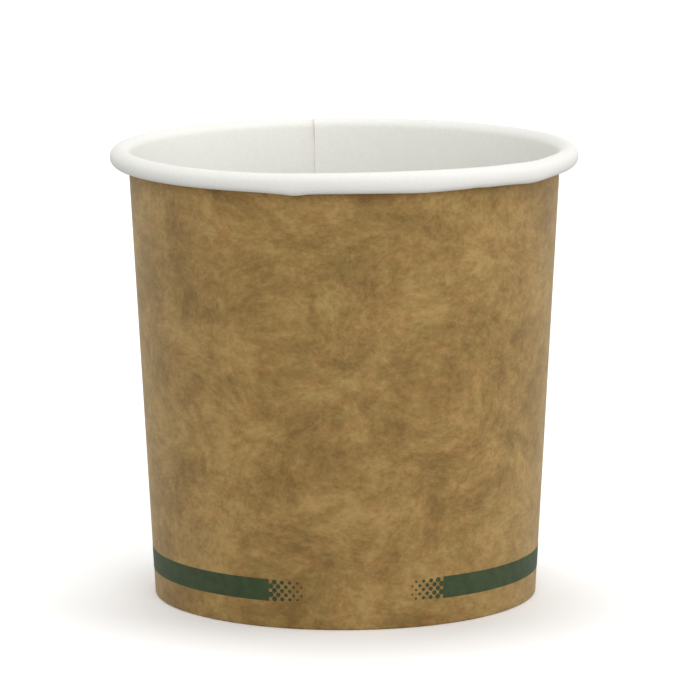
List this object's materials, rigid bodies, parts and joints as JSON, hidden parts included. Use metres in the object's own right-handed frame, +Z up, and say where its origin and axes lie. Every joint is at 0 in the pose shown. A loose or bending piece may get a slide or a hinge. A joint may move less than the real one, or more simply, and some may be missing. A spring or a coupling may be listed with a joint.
{
  "type": "paper soup bowl",
  "caption": "Round takeaway paper soup bowl with a slightly tapered kraft wall, a rolled rim, a recessed base and a printed band near the foot.",
  "frame": {"origin": "centre of the foot, on the table", "axes": "+Z up along the bowl's axis, -Y towards the viewer of the picture, +X to the viewer's right"},
  "size_m": [0.1152, 0.1153, 0.1115],
  "materials": {
    "kraft_board": "uncoated brown kraft outside, white coated board inside and on the roll",
    "white_board": "white board with a thin moisture-proof film",
    "green_ink": "matt dark green ink on kraft"
  },
  "bodies": {
    "root": {"side_wall": "kraft_board", "base_disc": "white_board", "printed_band": "green_ink"}
  },
  "joints": []
}
